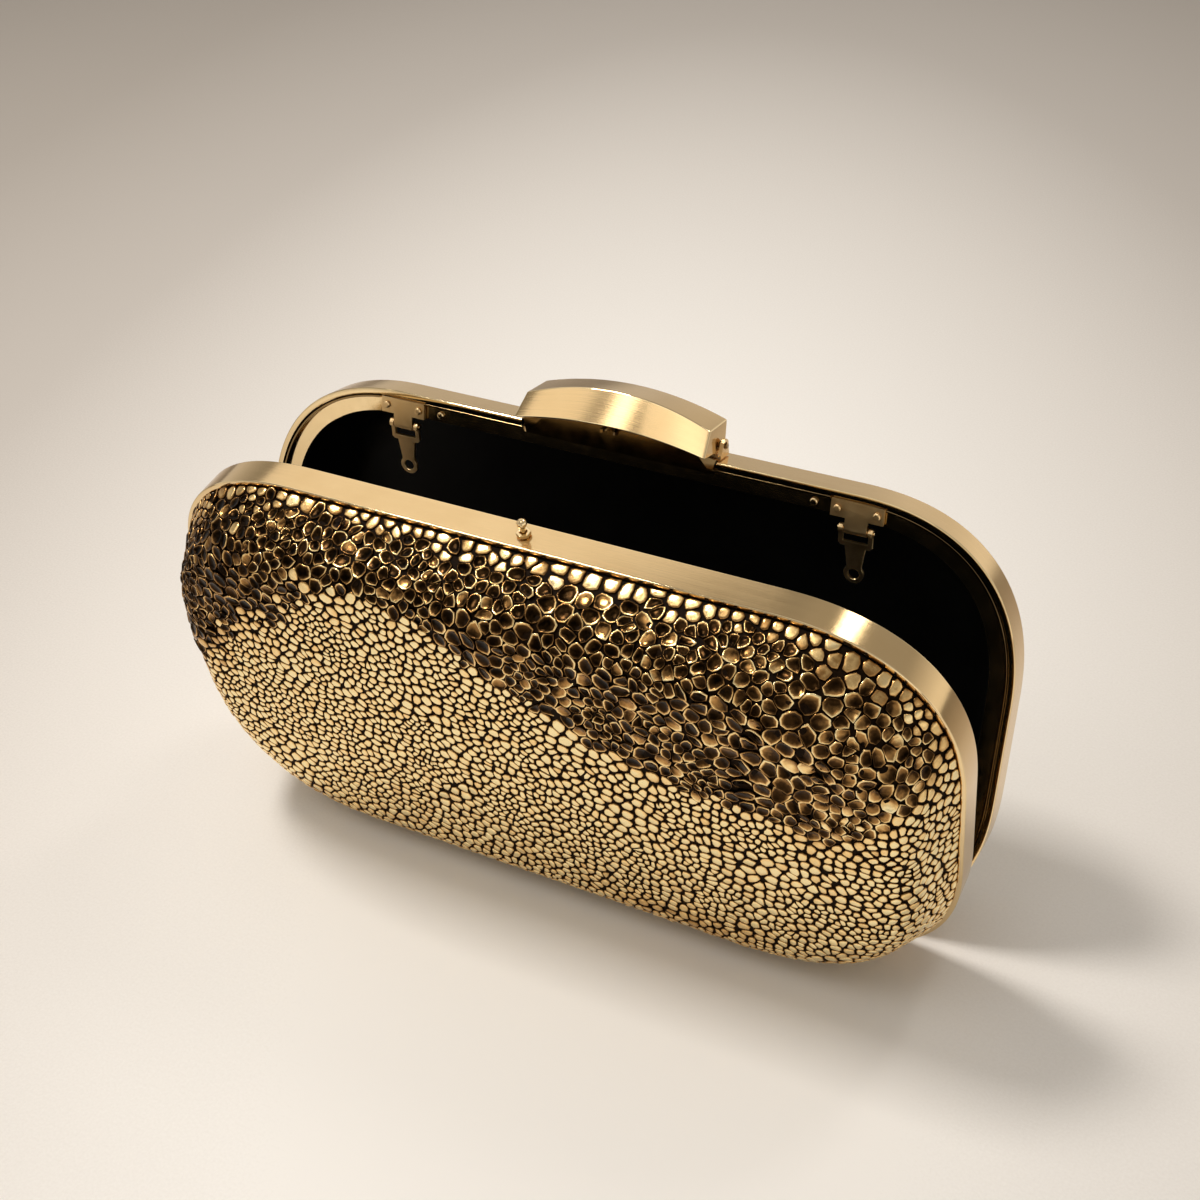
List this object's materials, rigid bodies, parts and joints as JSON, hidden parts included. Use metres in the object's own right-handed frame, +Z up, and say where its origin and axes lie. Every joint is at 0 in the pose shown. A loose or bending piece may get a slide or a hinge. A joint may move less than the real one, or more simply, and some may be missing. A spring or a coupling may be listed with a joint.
{
  "type": "evening clutch",
  "caption": "Hard evening clutch: leather-covered half shells in a hinged metal frame, with a lift-bar clasp, a catch stud and swivelling chain tabs, standing part open.",
  "frame": {"origin": "Centre of the bounding box's bottom, on the surface that the clutch stands on, under the middle of its hinges", "axes": "+X along the long side, to the right as seen from the front; +Y from the front half to the back half; +Z up"},
  "size_m": [0.2, 0.0836, 0.1189],
  "materials": {
    "satin_gold": "satin brushed pale gold",
    "bright_gold": "polished gold",
    "dark_gold": "polished dark gold",
    "spring_steel": "bright",
    "foil_leather": "gold foil over a raised pebble grain",
    "shell_board": "plain moulded",
    "black_satin": "black satin"
  },
  "bodies": {
    "back_half": {"back_band": "satin_gold", "back_flange": "bright_gold", "back_shell": "shell_board", "back_cover": "foil_leather", "back_lining": "black_satin", "back_lower_left_rivet": "bright_gold", "back_lower_right_rivet": "bright_gold", "back_upper_left_rivet": "bright_gold", "back_upper_right_rivet": "bright_gold", "clasp_face_plate": "dark_gold", "clasp_base": "satin_gold", "left_clasp_screw": "bright_gold", "right_clasp_screw": "bright_gold", "clasp_pin": "bright_gold", "clasp_spring": "spring_steel", "left_tab_bracket": "bright_gold", "right_tab_bracket": "bright_gold", "left_bracket_first_rivet": "bright_gold", "left_bracket_second_rivet": "bright_gold", "right_bracket_first_rivet": "bright_gold", "right_bracket_second_rivet": "bright_gold", "left_tab_pin": "bright_gold", "right_tab_pin": "bright_gold", "left_hinge_back_leaf": "satin_gold", "right_hinge_back_leaf": "satin_gold", "left_hinge_pin": "bright_gold", "right_hinge_pin": "bright_gold"},
    "front_half": {"front_band": "satin_gold", "front_flange": "bright_gold", "front_shell": "shell_board", "front_cover": "foil_leather", "front_lining": "black_satin", "front_lower_left_rivet": "bright_gold", "front_lower_right_rivet": "bright_gold", "front_upper_left_rivet": "bright_gold", "front_upper_right_rivet": "bright_gold", "ball_stud": "bright_gold", "stud_collar": "bright_gold", "left_hinge_front_leaf": "satin_gold", "right_hinge_front_leaf": "satin_gold"},
    "clasp_bar": {"clasp_bar": "satin_gold", "clasp_catch": "spring_steel"},
    "left_chain_tab": {"left_chain_tab": "bright_gold"},
    "right_chain_tab": {"right_chain_tab": "bright_gold"}
  },
  "joints": [
    {"name": "front_half_hinge", "type": "hinge", "parent": "back_half", "child": "front_half", "pos_m": [0, 0, 0.00139], "axis": [1, 0, 0], "range_deg": [-21.2, 55]},
    {"name": "clasp_bar_lift", "type": "hinge", "parent": "back_half", "child": "clasp_bar", "pos_m": [0, 0.02416, 0.10929], "axis": [-1, 0, 0], "range_deg": [0, 16], "stiffness_Nm_per_rad": 0.05, "springref_deg": -11.46, "deforming": ["clasp_spring"]},
    {"name": "left_chain_tab_swing", "type": "hinge", "parent": "back_half", "child": "left_chain_tab", "pos_m": [-0.0595, 0.01975, 0.09793], "axis": [-1, 0, 0], "range_deg": [-60, 80]},
    {"name": "right_chain_tab_swing", "type": "hinge", "parent": "back_half", "child": "right_chain_tab", "pos_m": [0.0595, 0.01975, 0.09793], "axis": [-1, 0, 0], "range_deg": [-60, 80]}
  ]
}
